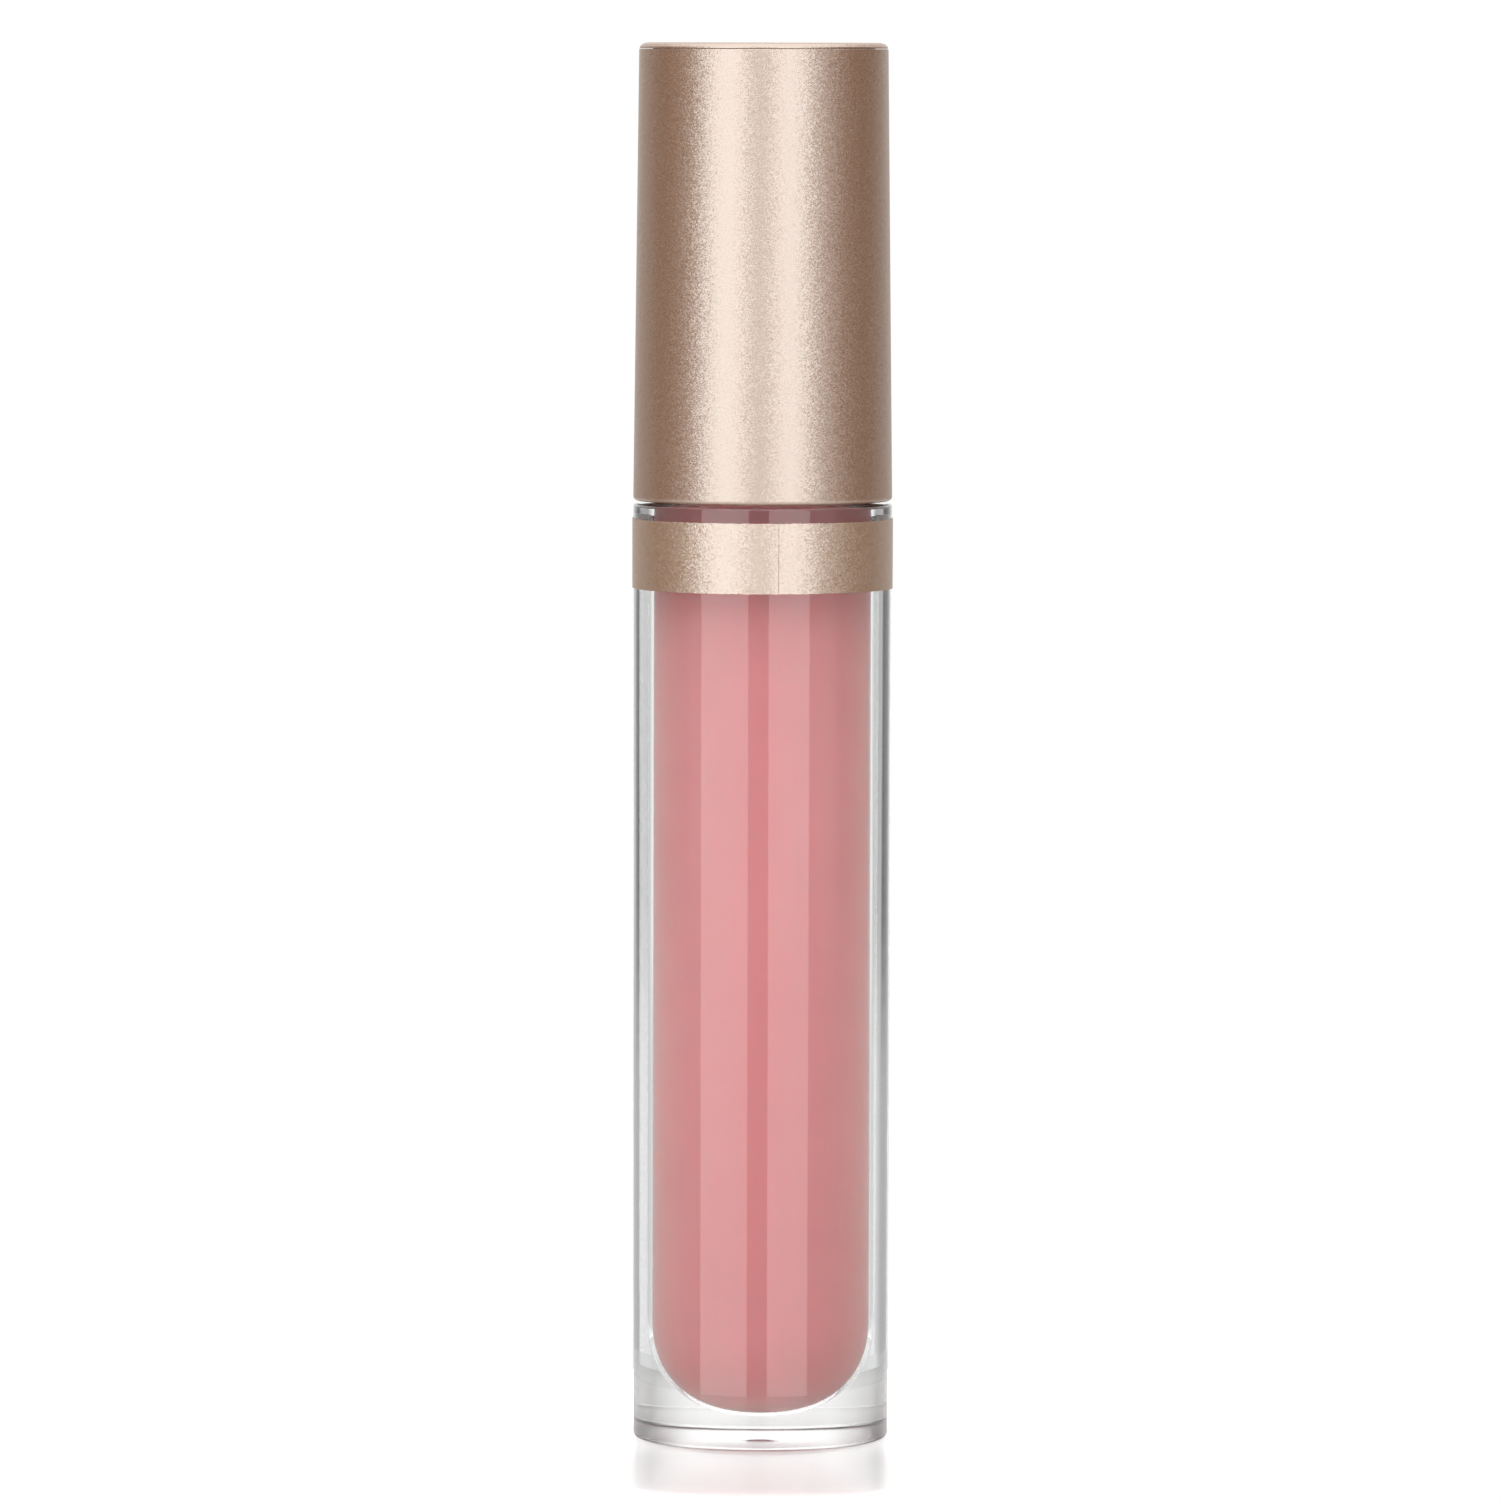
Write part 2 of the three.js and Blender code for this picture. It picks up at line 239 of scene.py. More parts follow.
def turned(name, profile, closed=False, facets=None, shift=None, slot_of=None):
    """A profile of (radius, height) turned about Z as one closed smooth mesh. shift(angle, r, z) moves a point out,
    and slot_of(r, z) gives a face's material slot."""
    facets = facets or bpy.context.scene.lip_gloss_sizes.facets
    angles = [2 * math.pi * i / facets for i in range(facets)]
    points, rings = [], []
    for r, z in profile:
        if r < SAME:
            rings.append([len(points)] * facets)
            points.append((0, 0, z))
            continue
        rings.append(range(len(points), len(points) + facets))
        for a in angles:
            out = r + (shift(a, r, z) if shift else 0)
            points.append((out * math.cos(a), out * math.sin(a), z))
    faces, slots = [], []
    spans = list(zip(range(len(rings)), range(1, len(rings))))
    if closed:
        spans.append((len(rings) - 1, 0))
    for low, high in spans:
        (r, z), (r2, z2) = profile[low], profile[high]
        slot = slot_of((r + r2) / 2, (z + z2) / 2) if slot_of else 0
        for i in range(facets):
            j = (i + 1) % facets
            face = list(dict.fromkeys((rings[low][i], rings[low][j], rings[high][j], rings[high][i])))
            if len(face) > 2:
                faces.append(face)
                slots.append(slot)
    return meshed(name, points, faces, slots)


def meshed(name, points, faces, slots=None):
    """An object of these points and faces, its normals facing out and its surface smooth."""
    mesh = bpy.data.meshes.new(name)
    mesh.from_pydata(points, [], faces)
    if slots:
        mesh.polygons.foreach_set("material_index", slots)
    work = bmesh.new()
    work.from_mesh(mesh)
    bmesh.ops.recalc_face_normals(work, faces=work.faces)
    work.to_mesh(mesh)
    work.free()
    mesh.shade_smooth()
    piece = bpy.data.objects.new(name, mesh)
    bpy.context.scene.collection.objects.link(piece)
    return piece


def finished(piece, body, node, slot, *materials):
    """The piece with its materials, riding on a body in the place of a frame node."""
    for material in materials:
        piece.data.materials.append(material)
    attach(piece, body)
    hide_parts(node)


def thread_rise(angle, z, foot):
    """How far a two-start right-hand thread stands out at this place, from 0 to 1. Its crest is rounded, and each end
    runs out over fade radians."""
    s = bpy.context.scene.lip_gloss_sizes
    best, full, fade = 0.0, 2 * math.pi, 0.45
    for start in (0, math.pi):
        turn = (angle - start) % full
        for way in (turn - full, turn, turn + full):
            off = abs(z - foot - s.thread_lead * way / full) / (s.thread_width / 2)
            end = min(way + fade, full + fade - way) / fade
            if off < 1 and end > 0:
                best = max(best, (1 - off**2) ** 0.75 * min(1, end) ** 0.5)
    return best


# ---- Materials --------------------------------------------------------------------------------


def add(tree, kind, inputs=(), **settings):
    """A node of this kind with its settings, and with its inputs set to values or linked from sockets."""
    node = tree.nodes.new(kind)
    for name, value in settings.items():
        setattr(node, name, value)
    for name, value in dict(inputs).items():
        if isinstance(value, bpy.types.NodeSocket):
            tree.links.new(value, node.inputs[name])
        else:
            node.inputs[name].default_value = value
    return node


def blank(name):
    """A material, its empty tree, and the place on the piece, in metres."""
    material = bpy.data.materials.new(name)
    material.use_nodes = True
    tree = material.node_tree
    tree.nodes.clear()
    return material, tree, add(tree, "ShaderNodeTexCoord").outputs["Object"]


def surfaced(material, shader):
    """The material with this shader node as its surface."""
    add(material.node_tree, "ShaderNodeOutputMaterial", {"Surface": shader.outputs[0]})
    return material


def clouds(tree, place, size, detail):
    """A soft noise with features of about this size."""
    return add(tree, "ShaderNodeTexNoise", {"Vector": place, "Scale": 1 / size, "Detail": detail}).outputs["Fac"]


def between(tree, value, low, high, start=0.0, end=1.0, **settings):
    """A value taken from the range start to end to the range low to high."""
    ranges = {"Value": value, "From Min": start, "From Max": end, "To Min": low, "To Max": high}
    return add(tree, "ShaderNodeMapRange", ranges, **settings).outputs["Result"]


def mixed(tree, share, a, b, blend="MIX"):
    """Two colours mixed."""
    inputs = {"Factor": share, "A": a, "B": b}
    return add(tree, "ShaderNodeMix", inputs, data_type="RGBA", blend_type=blend).outputs["Result"]


def rgba(values):
    return (*values, 1.0)


def clear_petg(name, ior, bumpy=True, roughness=0.0, passed=0.3):
    """Injection-moulded PETG, polished by its mould: it bends and mirrors what is round it, and a slow ripple of
    about 3 mm from the melt's flow makes straight reflections waver a little. It lets a share of the lamps' light
    straight through, which stands for the light that its curves gather."""
    material, tree, place = blank(name)
    inputs = {
        "Base Color": rgba(linear("FDFEFE")),
        "Roughness": roughness,
        "IOR": ior,
        "Transmission Weight": 1.0,
    }
    if bumpy:
        ripple = {"Strength": 0.02, "Distance": 0.2 * MM, "Height": clouds(tree, place, 3 * MM, 1.0)}
        inputs["Normal"] = add(tree, "ShaderNodeBump", ripple).outputs["Normal"]
    shadow = add(tree, "ShaderNodeLightPath").outputs["Is Shadow Ray"]
    plastic = add(tree, "ShaderNodeBsdfPrincipled", inputs).outputs["BSDF"]
    open_air = add(tree, "ShaderNodeBsdfTransparent", {"Color": (passed, passed, passed, 1)}).outputs["BSDF"]
    return surfaced(material, add(tree, "ShaderNodeMixShader", {0: shadow, 1: plastic, 2: open_air}))


def flake_lacquer(name, tint, grain, lean, roughness):
    """Champagne lacquer, sprayed: pearl flakes lying nearly flat in a brown satin varnish. They throw a wide, faintly
    warm sheen over the brown, and each flake leans its own way, which gives the sheen its grain. Real flakes are
    about 0.02 mm across, and they are drawn some four times as coarse, so that they show."""
    material, tree, place = blank(name)
    flake = add(tree, "ShaderNodeTexVoronoi", {"Vector": place, "Scale": 1 / grain})
    away = add(tree, "ShaderNodeVectorMath", {0: flake.outputs["Color"], 1: (0.5, 0.5, 0.5)}, operation="SUBTRACT")
    tilted = add(
        tree,
        "ShaderNodeVectorMath",
        {0: away.outputs["Vector"], 1: (lean, lean, lean), 2: add(tree, "ShaderNodeNewGeometry").outputs["Normal"]},
        operation="MULTIPLY_ADD",
    )
    normal = add(tree, "ShaderNodeVectorMath", {0: tilted.outputs["Vector"]}, operation="NORMALIZE")
    shade = between(tree, clouds(tree, place, 3 * grain, 3.0), 0.93, 1.07, 0.3, 0.7)
    shader = add(
        tree,
        "ShaderNodeBsdfPrincipled",
        {
            "Base Color": mixed(tree, 1.0, rgba(tint), shade, "MULTIPLY"),
            "Roughness": roughness,
            "IOR": PEARL,
            "Specular IOR Level": 1.0,
            "Specular Tint": rgba(linear("FFFDF6")),
            "Normal": normal.outputs["Vector"],
        },
    )
    return surfaced(material, shader)


def silvered():
    """The film's back, coated with aluminium in a vacuum: a bright metal, hazy where the glue is uneven over 0.5 mm.
    It lights the gloss behind the band."""
    material, tree, place = blank("Aluminium coating, vacuum deposited")
    haze = between(tree, clouds(tree, place, 0.5 * MM, 2.0), 0.25, 0.45)
    metal = {"Base Color": rgba(linear("F0EFED")), "Metallic": 1.0, "Roughness": haze}
    shader = add(tree, "ShaderNodeBsdfPrincipled", metal)
    return surfaced(material, shader)


def lip_gloss(tint):
    """Thick oil-based lip gloss, filled hot: an even creamy pink that scatters light inside. It wets the bottle, so
    its own shine is the bottle's, and only its pigment shows here, clouded very slightly over 4 mm. Its outline is
    painted paler, a painted rim light that stands for light leaking round its sides."""
    material, tree, place = blank("Pigmented lip gloss, filled")
    shade = between(tree, clouds(tree, place, 4 * MM, 2.0), 0.985, 1.01, 0.3, 0.7)
    # Painted rim light: the pink is mixed towards a paler FFBFBA where the surface turns away from the view.
    rim = add(tree, "ShaderNodeLayerWeight", {"Blend": 0.5}).outputs["Facing"]
    painted_rim_light = mixed(tree, rim, rgba(tint), rgba(linear("FFBFBA")))
    shader = add(
        tree,
        "ShaderNodeBsdfPrincipled",
        {
            "Base Color": mixed(tree, 1.0, painted_rim_light, shade, "MULTIPLY"),
            "Roughness": 0.5,
            "Specular IOR Level": 0.0,
            "IOR": 1.48,
            "Subsurface Weight": 1.0,
            "Subsurface Radius": (1.0, 0.5, 0.45),
            "Subsurface Scale": 3 * MM,
        },
    )
    return surfaced(material, shader)


def moulded(name, tint, roughness, ior, grain):
    """Moulded thermoplastic, straight from a lightly blasted tool: an even colour and a fine haze on its shine."""
    material, tree, place = blank(name)
    speck = clouds(tree, place, grain, 2.0)
    bump = add(tree, "ShaderNodeBump", {"Strength": 0.08, "Distance": 0.02 * MM, "Height": speck})
    shader = add(
        tree,
        "ShaderNodeBsdfPrincipled",
        {
            "Base Color": rgba(tint),
            "Roughness": between(tree, speck, roughness * 0.85, roughness * 1.15),
            "IOR": ior,
            "Subsurface Weight": 0.15,
            "Subsurface Radius": (1.0, 0.9, 0.8),
            "Subsurface Scale": 0.5 * MM,
            "Normal": bump.outputs["Normal"],
        },
    )
    return surfaced(material, shader)


def wet_flock(tint):
    """Nylon fibres of about 0.05 mm flocked on the tip and soaked with gloss: a fuzzy pink with wet glints. The
    fibres are drawn three times as coarse, so that they show."""
    material, tree, place = blank("Nylon flock, soaked in gloss")
    fibre = add(tree, "ShaderNodeTexVoronoi", {"Vector": place, "Scale": 1 / (0.16 * MM)}).outputs["Distance"]
    bump = add(tree, "ShaderNodeBump", {"Strength": 0.8, "Distance": 0.08 * MM, "Height": fibre})
    soaked = [0.6 * c for c in tint]
    shader = add(
        tree,
        "ShaderNodeBsdfPrincipled",
        {
            "Base Color": mixed(tree, fibre, rgba(soaked), rgba(tint)),
            "Roughness": 0.35,
            "IOR": 1.48,
            "Sheen Weight": 0.1,
            "Coat Weight": 0.6,
            "Coat Roughness": 0.12,
            "Normal": bump.outputs["Normal"],
        },
    )
    return surfaced(material, shader)


# ---- Pieces -----------------------------------------------------------------------------------


def cavity(inset, top, steps=28):
    """Half of the cavity's section, from the axis up its domed end to a height."""
    s = bpy.context.scene.lip_gloss_sizes
    r = s.cavity_radius - inset
    return arc(0, s.cavity_floor + s.dome, r, s.dome - inset, -90, 0, steps, s.dome_power) + [(r, top)]


def body_radius(z):
    s = bpy.context.scene.lip_gloss_sizes
    return s.body_radius - s.body_taper * (s.shoulder - z)


def shell_radius(z):
    s = bpy.context.scene.lip_gloss_sizes
    return radius_of("cap_shell") - s.cap_taper * (z - foot_of("cap_shell"))


class LIPGLOSS_OT_bottle(bpy.types.Operator):
    """Build the clear bottle with its threaded neck"""

    bl_idname = "lipgloss.bottle"
    bl_label = "Bottle"

    def execute(self, context):
        s = context.scene.lip_gloss_sizes
        neck_top, foot = top_of("bottle"), s.shoulder + s.thread_foot
        neck, run_out, pitch = s.neck_radius, 1.2 * MM, 0.11 * MM
        corners = [
            (s.gate_radius, 0, 0.12 * MM),
            (body_radius(0), 0, s.base_edge),
            (body_radius(s.shoulder), s.shoulder, s.shoulder_edge),
            (neck, s.shoulder, 0.35 * MM),
            (neck, foot - run_out, 0),
        ]
        outside = arc(0, 0, s.gate_radius, s.gate_depth, 90, 8, 8)[:-1]
        outside += rounded([(s.gate_radius * 0.99, s.gate_depth * 0.14, 0)] + corners, steps=8)
        rows = int((s.thread_lead + 2 * run_out) / pitch)
        threads = [(neck, foot - run_out + pitch * i) for i in range(1, rows + 1)]
        rim = rounded(
            [
                (neck, foot + s.thread_lead + 1.3 * MM, 0),
                (neck, neck_top, 0.3 * MM),
                (s.cavity_radius, neck_top, 0.15 * MM),
                (s.cavity_radius, s.cavity_floor + s.dome, 0),
            ]
        )
        band_low, band_high = foot_of("shoulder_band"), top_of("shoulder_band")
        fill = top_of("gloss_fill")
        wall = [(body_radius(band_low), band_low), (body_radius(band_high), band_high)]
        at = next(i for i, (r, z) in enumerate(outside) if z > band_high)
        outside[at:at] = wall
        at = next(i for i, (r, z) in enumerate(rim) if i and r < s.cavity_radius + SAME and z < fill)
        rim.insert(at, (s.cavity_radius, fill))
        profile = held(outside + threads + rim[:-1] + cavity(0, neck_top)[:-1][::-1])

        def shift(angle, r, z):
            return s.thread_height * thread_rise(angle, z, foot) if abs(r - neck) < SAME else 0

        def wall_kind(r, z):
            """The slot of the plastic here, in the order of the materials below."""
            if r < s.cavity_radius + SAME and s.cavity_floor - SAME < z < fill:
                return 1
            if z < 0.6 * s.base_edge or (z < s.gate_depth + SAME and r < s.gate_radius):
                return 3
            if z > band_high:
                return 4
            return 2 if band_low < z and r > neck else 0

        piece = turned("clear_bottle", profile, shift=shift, slot_of=wall_kind)
        finished(
            piece,
            "bottle",
            "bottle",
            "clear_bottle",
            clear_petg("Clear PETG, mould polished", PETG),
            clear_petg("Clear PETG, wetted by gloss", PETG / GLOSS, bumpy=False),
            clear_petg("Clear PETG, glued to foil", PETG / GLOSS, bumpy=False),
            clear_petg("Clear PETG, spark-eroded foot", PETG, bumpy=False, roughness=0.35),
            clear_petg("Clear PETG, thin neck", PETG, passed=0.8),
        )
        return {"FINISHED"}


class LIPGLOSS_OT_fill(bpy.types.Operator):
    """Build the gloss in the cavity"""

    bl_idname = "lipgloss.fill"
    bl_label = "Gloss fill"

    def execute(self, context):
        s = context.scene.lip_gloss_sizes
        fill = top_of("gloss_fill")
        level = fill - 0.25 * MM  # the gloss climbs the wall a little
        tip_low, tip_high = foot_of("tip_flocking"), foot_of("applicator_rod")
        rod, tip = radius_of("applicator_rod") + CHANNEL, radius_of("tip_flocking") + CHANNEL
        inside = rounded(
            [
                (s.cavity_radius - FILL_GAP, fill, 0.2 * MM),
                (s.cavity_radius - 0.5 * MM, level, 0.3 * MM),
                (rod, level, 0.2 * MM),
                (rod, tip_high + CHANNEL, 0.3 * MM),
                (tip, tip_high + CHANNEL, 0.3 * MM),
                (tip, tip_low + 1.8 * MM, 0.5 * MM),
                (tip * 0.7, tip_low - CHANNEL, 0.5 * MM),
                (0, tip_low - CHANNEL, 0),
            ]
        )
        piece = turned("gloss_pour", held(cavity(FILL_GAP, fill)[:-1] + inside))
        finished(piece, "bottle", "gloss_fill", "pink_gloss", lip_gloss(context.scene.lip_gloss_colours.gloss))
        return {"FINISHED"}


class LIPGLOSS_OT_band(bpy.types.Operator):
    """Wrap the foil band round the shoulder, its cut edges a little ragged"""

    bl_idname = "lipgloss.band"
    bl_label = "Foil band"

    def execute(self, context):
        s = context.scene.lip_gloss_sizes
        low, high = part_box("shoulder_band")
        facets, rows, wander = 360, 12, 0.035 * MM
        thick = radius_of("shoulder_band") - body_radius(high.z) - GLUE
        seam = s.band_seam - math.pi / 2
        points, faces, slots = [], [], []
        for out in (GLUE, GLUE + thick):
            for i in range(facets + 1):
                angle = seam + 2 * math.pi * i / facets
                spot = Vector((math.cos(angle), math.sin(angle), 0)) * 60
                ragged = [noise.fractal(spot + Vector((0, 0, k)), 0.8, 2.2, 4) * wander for k in (3, 9)]
                for row in range(rows + 1):
                    t = row / rows
                    z = low.z + (high.z - low.z) * t
                    z += ragged[0] * max(0, 1 - 6 * t) + ragged[1] * max(0, 6 * t - 5)
                    r = body_radius(z) + out
                    shut = s.band_slit * (1 - 0.4 * t) / r / 2
                    at = max(seam + shut, min(seam + 2 * math.pi - shut, angle))
                    points.append((r * math.cos(at), r * math.sin(at), z))
        step, sheet = rows + 1, (facets + 1) * (rows + 1)
        for i in range(facets):
            for row in range(rows):
                a, b = i * step + row, (i + 1) * step + row
                faces += [(a, b, b + 1, a + 1), (a + sheet, a + 1 + sheet, b + 1 + sheet, b + sheet)]
                slots += [1, 0]
            for row in (0, rows):
                a, b = i * step + row, (i + 1) * step + row
                faces.append((a, b, b + sheet, a + sheet))
                slots.append(0)
        for i in (0, facets):
            for row in range(rows):
                a = i * step + row
                faces.append((a, a + 1, a + 1 + sheet, a + sheet))
                slots.append(0)
        piece = meshed("foil_band", points, faces, slots)
        piece.data.set_sharp_from_angle(angle=math.radians(40))
        tint = context.scene.lip_gloss_colours.foil
        foil = flake_lacquer("Metallised polyester film, satin", tint, 0.08 * MM, 0.24, 0.34)
        finished(piece, "bottle", "shoulder_band", "champagne_foil", foil, silvered())
        return {"FINISHED"}


class LIPGLOSS_OT_cap(bpy.types.Operator):
    """Build the cap's shell and its end disc"""

    bl_idname = "lipgloss.cap"
    bl_label = "Cap shell and end disc"

    def execute(self, context):
        s = context.scene.lip_gloss_sizes
        foot, top = foot_of("cap_shell"), top_of("cap_shell")
        tint = context.scene.lip_gloss_colours.lacquer
        lacquer = flake_lacquer("Pearl lacquer on ABS, satin", tint, 0.075 * MM, 0.2, 0.34)
        shell = held(
            rounded(
                [
                    (shell_radius(foot) - s.cap_wall, foot, 0.15 * MM),
                    (shell_radius(foot), foot, s.cap_edge),
                    (shell_radius(top), top, 0.06 * MM),
                    (shell_radius(top) - s.cap_wall, top, 0.05 * MM),
                ],
                closed=True,
            ),
            closed=True,
        )
        finished(turned("satin_cap_shell", shell, closed=True), "cap", "cap_shell", "champagne_cap", lacquer)
        low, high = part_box("cap_top_disc")
        seat, edge = top + DISC_GAP, high.x
        plug = shell_radius(top) - s.cap_wall - FIT
        bevel, lip, crown = 0.55 * MM, 0.12 * MM, 0.11 * MM
        disc = rounded(
            [
                (0, low.z, 0),
                (plug, low.z, 0.2 * MM),
                (plug, seat, 0.03 * MM),
                (edge, seat, 0.03 * MM),
                (edge, seat + lip, 0.05 * MM),
                (edge - 0.2 * MM, high.z - crown, 0.15 * MM),
                (edge - bevel, high.z, 0.2 * MM),
                (0, high.z, 0),
            ]
        )
        finished(turned("satin_end_disc", held(disc)), "cap", "cap_top_disc", "champagne_disc", lacquer)
        return {"FINISHED"}


class LIPGLOSS_OT_liner(bpy.types.Operator):
    """Build the liner in the cap, with its thread, ribs and socket"""

    bl_idname = "lipgloss.liner"
    bl_label = "Liner"

    def execute(self, context):
        s = context.scene.lip_gloss_sizes
        low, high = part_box("inner_cap")
        rod, rod_top = radius_of("applicator_rod") + SOCKET_GAP, top_of("applicator_rod") + SOCKET_GAP
        ceiling = top_of("wiper") + SEAL_GAP
        bore, wall = s.neck_radius + 0.75 * MM, s.neck_radius + 1.5 * MM
        foot = s.shoulder + s.thread_foot - 1.0 * MM
        run_out, rim_height, crown = 1 * MM, 1 * MM, 1.6 * MM
        socket = rod + 1.5 * MM
        pitch, ribs, rib_height, rib_width = 0.12 * MM, 12, 0.28 * MM, 0.4 * MM
        rows = int((s.thread_lead + 2 * run_out) / pitch)
        threads = [(bore, foot + s.thread_lead + run_out - pitch * i) for i in range(rows)]
        top = rounded(
            [
                (0, rod_top, 0),
                (rod, rod_top, 0.05 * MM),
                (rod, ceiling, 0.15 * MM),
                (bore, ceiling, 0.3 * MM),
                threads[0] + (0,),
            ]
        )
        rim = rounded(
            [
                threads[-1] + (0,),
                (bore, low.z, 0.15 * MM),
                (high.x, low.z, 0.2 * MM),
                (high.x - 0.01 * MM, low.z + rim_height, 0.1 * MM),
                (wall, low.z + rim_height, 0.15 * MM),
                (wall, ceiling + crown, 0.3 * MM),
                (socket, ceiling + crown, 0.4 * MM),
                (socket, high.z, 0.4 * MM),
                (0, high.z, 0),
            ]
        )
        profile = held(top[:-1] + threads + rim[1:], long=1.2 * MM)
        rib_low, rib_high = low.z + rim_height, ceiling + 1.4 * MM

        def shift(angle, r, z):
            if abs(r - bore) < SAME and foot - run_out < z < ceiling - run_out:
                return -s.thread_height * 0.9 * thread_rise(angle, z, foot)
            if abs(r - wall) < SAME and rib_low < z < rib_high:
                across = abs((angle * ribs / (2 * math.pi) + 0.5) % 1 - 0.5) * 2 * math.pi * wall / ribs
                return rib_height * min(1, max(0, 1.5 - across / rib_width) * 2)
            return 0

        piece = turned("threaded_liner", profile, shift=shift)
        tint = context.scene.lip_gloss_colours.liner
        finished(
            piece, "cap", "inner_cap", "liner_plastic", moulded("Polypropylene, moulded", tint, 0.4, 1.49, 0.25 * MM)
        )
        return {"FINISHED"}


class LIPGLOSS_OT_wiper(bpy.types.Operator):
    """Build the soft wiper in the neck"""

    bl_idname = "lipgloss.wiper"
    bl_label = "Wiper"

    def execute(self, context):
        s = context.scene.lip_gloss_sizes
        low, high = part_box("wiper")
        sleeve, flange, neck_top = s.cavity_radius - FIT, high.x, top_of("bottle")
        inner, lip = sleeve - 0.7 * MM, radius_of("applicator_rod") + LIP_GAP
        profile = rounded(
            [
                (lip, low.z, 0.12 * MM),
                (lip + 0.5 * MM, low.z, 0.15 * MM),
                (sleeve, low.z + 4.5 * MM, 0.8 * MM),
                (sleeve, neck_top, 0.05 * MM),
                (flange, neck_top, 0.12 * MM),
                (flange, high.z, 0.25 * MM),
                (inner + 0.3 * MM, high.z, 0.2 * MM),
                (inner, high.z - 0.3 * MM, 0.2 * MM),
                (inner, low.z + 5.2 * MM, 0.8 * MM),
                (lip, low.z + 0.7 * MM, 0.3 * MM),
            ],
            closed=True,
        )
        tint = context.scene.lip_gloss_colours.wiper
        material = moulded("Polyethylene, moulded", tint, 0.35, 1.51, 0.2 * MM)
        piece = turned("soft_wiper", held(profile, closed=True), closed=True)
        finished(piece, "bottle", "wiper", "wiper_plastic", material)
        return {"FINISHED"}


class LIPGLOSS_OT_wand(bpy.types.Operator):
    """Build the rod, the doe-foot core and its flocking"""

    bl_idname = "lipgloss.wand"
    bl_label = "Wand"

    def execute(self, context):
        colours = context.scene.lip_gloss_colours
        low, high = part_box("applicator_rod")
        spigot, depth = 1.1 * MM, 4 * MM
        profile = rounded(
            [
                (0, low.z + depth, 0),
                (spigot, low.z + depth, 0.1 * MM),
                (spigot, low.z, 0.05 * MM),
                (high.x, low.z, 0.12 * MM),
                (high.x, high.z, 0.3 * MM),
                (0, high.z, 0),
            ]
        )
        plastic = moulded("Acetal rod, moulded", colours.rod, 0.25, 1.48, 0.3 * MM)
        rod = turned("white_rod", held(profile), facets=96)
        finished(rod, "wand", "applicator_rod", "rod_plastic", plastic)
        core = self.foot("doe_foot_core", 0.5 * MM, low.z, (spigot - SOCKET_GAP, top_of("applicator_tip")))
        finished(core, "cap", "applicator_tip", "tip_plastic", plastic)
        flock = self.foot("flocked_tip", 0, top_of("tip_flocking"))
        finished(flock, "cap", "tip_flocking", "flocking", wet_flock(colours.gloss))
        return {"FINISHED"}

    def foot(self, name, inset, top, spigot=None):
        """The doe-foot: a flattened rod with a slanted face, shrunk all round by an inset, and its spigot's radius
        and top where it has one."""
        low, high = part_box("tip_flocking")
        wide, deep, foot = high.x - inset, high.y - inset, low.z + inset
        steps, facets, slant = 60, 64, math.radians(38)
        toe, pinch = 0.35 * deep, 0.2  # where the slanted face starts, and how far the top narrows
        rings = []
        for i in range(1, steps + 1):
            z = foot + (top - foot) * (i / steps) ** 1.15
            end, near_top = min(1, (z - foot) / deep), max(0.0, (z - top) / MM + 1)
            swell = math.sqrt(1 - (1 - end) ** 2) * (1 - pinch * near_top**2)
            front = 0.3 * inset - toe - (z - foot - deep) * math.tan(slant)
            rings.append((z, wide * swell, deep * swell, max(-deep * swell, front)))
        if spigot:
            radius, end = spigot
            rings += [(z, radius, radius, -radius) for z in (top, end - 0.1 * MM, end)]
        points = []
        for z, x, y, front in rings:
            for k in range(facets):
                a = 2 * math.pi * k / facets
                points.append((x * math.cos(a), max(front, y * math.sin(a)), z))
        bottom, lid = len(points), len(points) + 1
        points += [(0, toe, foot), (0, 0, rings[-1][0])]
        faces, last = [], (len(rings) - 1) * facets
        for k in range(facets):
            j = (k + 1) % facets
            faces += [(row + k, row + j, row + facets + j, row + facets + k) for row in range(0, last, facets)]
            faces += [(bottom, j, k), (lid, last + k, last + j)]
        return meshed(name, points, faces)


# ---- Studio -----------------------------------------------------------------------------------


def softbox(name, degrees, width, watts):
    """A tall soft light at an angle from the front, turned to face the tube."""
    data = bpy.data.lights.new(name, "AREA")
    data.shape, data.size, data.size_y, data.energy = "RECTANGLE", width, SOFTBOX_TALL, watts
    light = bpy.data.objects.new(name, data)
    bpy.context.scene.collection.objects.link(light)
    angle = math.radians(degrees)
    place = Vector((SOFTBOX_DISTANCE * math.sin(angle), -SOFTBOX_DISTANCE * math.cos(angle), SOFTBOX_LIFT))
    light.location = place
    light.rotation_euler = (Vector((0, 0, SOFTBOX_LIFT)) - place).to_track_quat("-Z", "Y").to_euler()
    light.visible_camera = False


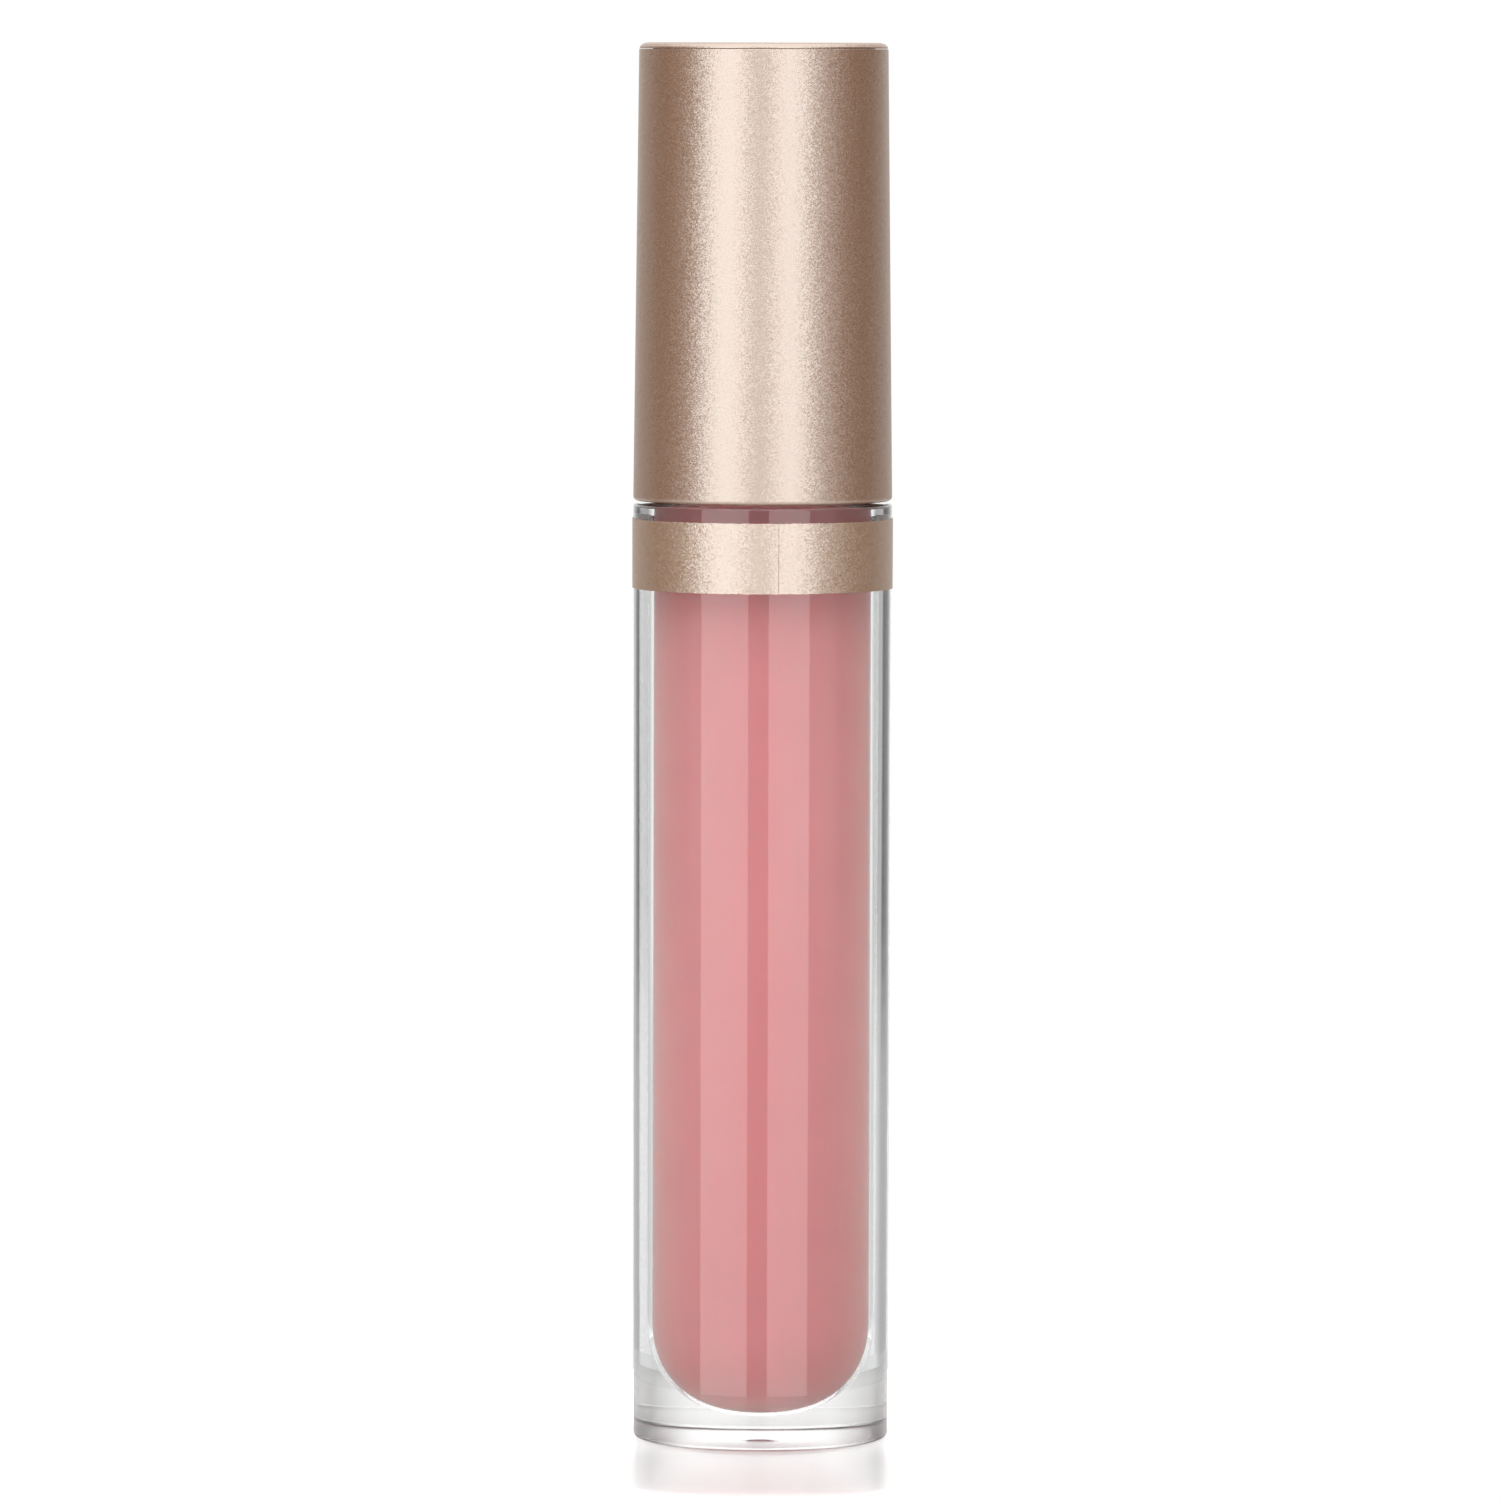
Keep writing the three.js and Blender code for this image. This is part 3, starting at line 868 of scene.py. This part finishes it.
class LIPGLOSS_OT_studio(bpy.types.Operator):
    """Set up the camera, the floor, the surroundings and the lights"""

    bl_idname = "lipgloss.studio"
    bl_label = "Studio"

    def execute(self, context):
        self.camera(context)
        self.floor(context)
        self.surroundings(context)
        for light in SOFTBOXES:
            softbox(*light)
        context.scene.view_settings.view_transform = "Standard"
        return {"FINISHED"}

    def camera(self, context):
        data = bpy.data.cameras.new("Camera")
        data.lens, data.sensor_width = LENS, SENSOR
        data.clip_start, data.clip_end = 0.01, 20
        camera = bpy.data.objects.new("Camera", data)
        context.scene.collection.objects.link(camera)
        tilt, roll = math.radians(90 - CAMERA_DIP), math.radians(CAMERA_ROLL)
        place = Matrix.Translation(CAMERA_AT)
        camera.matrix_world = place @ Matrix.Rotation(tilt, 4, "X") @ Matrix.Rotation(roll, 4, "Z")
        context.scene.camera = camera

    def floor(self, context):
        """A round white plinth, softly polished. It glows white to the camera alone, a painted light, and the glow
        fades just in front of the tube, a painted shadow there.
        """
        profile = [(0, -PLINTH_THICK), (PLINTH_RADIUS, -PLINTH_THICK)]
        profile += [(r, -PLINTH_GAP) for r in (PLINTH_RADIUS, 0.03, 0.02, 0.01, 0.0)]
        floor = turned("studio_floor", profile, facets=96)
        material, tree, place = blank("White acrylic, satin cast")
        # Painted shadow: the camera-only glow drops to 0.14 within 8 to 34 mm of a point 20 mm in front of the tube.
        ahead = add(tree, "ShaderNodeVectorMath", {0: place, 1: (0, 0.02, 0)}, operation="ADD")
        away = add(tree, "ShaderNodeVectorMath", {0: ahead.outputs["Vector"]}, operation="LENGTH")
        painted_glow = between(tree, away.outputs["Value"], 0.14, 1.0, 0.008, 0.034, interpolation_type="SMOOTHSTEP")
        direct = add(tree, "ShaderNodeLightPath").outputs["Is Camera Ray"]
        seen = add(tree, "ShaderNodeMath", {0: direct, 1: painted_glow}, operation="MULTIPLY")
        shader = add(
            tree,
            "ShaderNodeBsdfPrincipled",
            {
                "Base Color": rgba(context.scene.lip_gloss_colours.floor),
                "Roughness": 0.25,
                "IOR": 1.49,
                "Emission Color": (1, 1, 1, 1),
                "Emission Strength": seen.outputs["Value"],
            },
        )
        floor.data.materials.append(surfaced(material, shader))

    def surroundings(self, context):
        """A white sheet behind the tube, dark at its sides, lit from above, and plain white where nothing stands."""
        world = bpy.data.worlds.new("Studio")
        context.scene.world = world
        world.use_nodes = True
        tree = world.node_tree
        tree.nodes.clear()
        way = add(tree, "ShaderNodeSeparateXYZ", {"Vector": add(tree, "ShaderNodeTexCoord").outputs["Generated"]})
        turn = add(tree, "ShaderNodeMath", {0: way.outputs["X"], 1: way.outputs["Y"]}, operation="ARCTAN2")
        share = between(tree, turn.outputs["Value"], 0.0, 1.0, -math.pi, math.pi)
        level = self.ramp(tree, share, FAR)
        # Each light takes over between two slopes of a ray.
        for stops, start, end in ((NEAR, -0.078, -0.1), (BELOW, -0.14, -0.2), (ABOVE, 0.0, 0.06)):
            level = self.over(tree, way.outputs["Z"], start, end, level, self.ramp(tree, share, stops))
        around = self.over(tree, way.outputs["Z"], 0.5, 0.85, level, (OVERHEAD, OVERHEAD, OVERHEAD, 1))
        lit = add(tree, "ShaderNodeBackground", {"Color": around}).outputs["Background"]
        seen = add(tree, "ShaderNodeBackground", {"Color": (1, 1, 1, 1)}).outputs["Background"]
        direct = add(tree, "ShaderNodeLightPath").outputs["Is Camera Ray"]
        which = add(tree, "ShaderNodeMixShader", {0: direct, 1: lit, 2: seen})
        add(tree, "ShaderNodeOutputWorld", {"Surface": which.outputs["Shader"]})

    def over(self, tree, height, start, end, below, above):
        """One light and then another, as a ray's slope goes from start to end; the slope is the sine of its rise."""
        share = between(tree, height, 0.0, 1.0, start, end, interpolation_type="SMOOTHSTEP")
        return mixed(tree, share, below, above)

    def ramp(self, tree, share, stops):
        """A ramp of grey by angle from the back, in degrees, and its colour socket."""
        node = add(tree, "ShaderNodeValToRGB", {"Fac": share})
        elements = node.color_ramp.elements
        while len(elements) < len(stops):
            elements.new(0.5)
        for element, (degrees, light) in zip(elements, stops):
            element.position = (degrees + 180) / 360
            element.color = (light, light, light, 1)
        return node.outputs["Color"]


# ---- Panel and running ------------------------------------------------------------------------

OPERATORS = (
    LIPGLOSS_OT_studio,
    LIPGLOSS_OT_bottle,
    LIPGLOSS_OT_fill,
    LIPGLOSS_OT_band,
    LIPGLOSS_OT_cap,
    LIPGLOSS_OT_liner,
    LIPGLOSS_OT_wiper,
    LIPGLOSS_OT_wand,
)


class LIPGLOSS_PT_panel(bpy.types.Panel):
    """Lists the pieces, the sizes and the colours"""

    bl_idname = "LIPGLOSS_PT_panel"
    bl_label = "Lip gloss tube"
    bl_space_type = "VIEW_3D"
    bl_region_type = "UI"
    bl_category = "Lip gloss"

    def draw(self, context):
        for operator in OPERATORS:
            self.layout.operator(operator.bl_idname)
        for group in (context.scene.lip_gloss_sizes, context.scene.lip_gloss_colours):
            box = self.layout.box()
            for name in group.bl_rna.properties.keys():
                if name not in ("rna_type", "name"):
                    box.prop(group, name)


CLASSES = (LipGlossSizes, LipGlossColours, *OPERATORS, LIPGLOSS_PT_panel)


def register():
    for cls in CLASSES:
        bpy.utils.register_class(cls)
    bpy.types.Scene.lip_gloss_sizes = PointerProperty(type=LipGlossSizes)
    bpy.types.Scene.lip_gloss_colours = PointerProperty(type=LipGlossColours)


def unregister():
    del bpy.types.Scene.lip_gloss_colours
    del bpy.types.Scene.lip_gloss_sizes
    for cls in reversed(CLASSES):
        bpy.utils.unregister_class(cls)


def main():
    register()
    for operator in OPERATORS:
        group, name = operator.bl_idname.split(".")
        getattr(getattr(bpy.ops, group), name)()


if __name__ == "__main__":
    main()
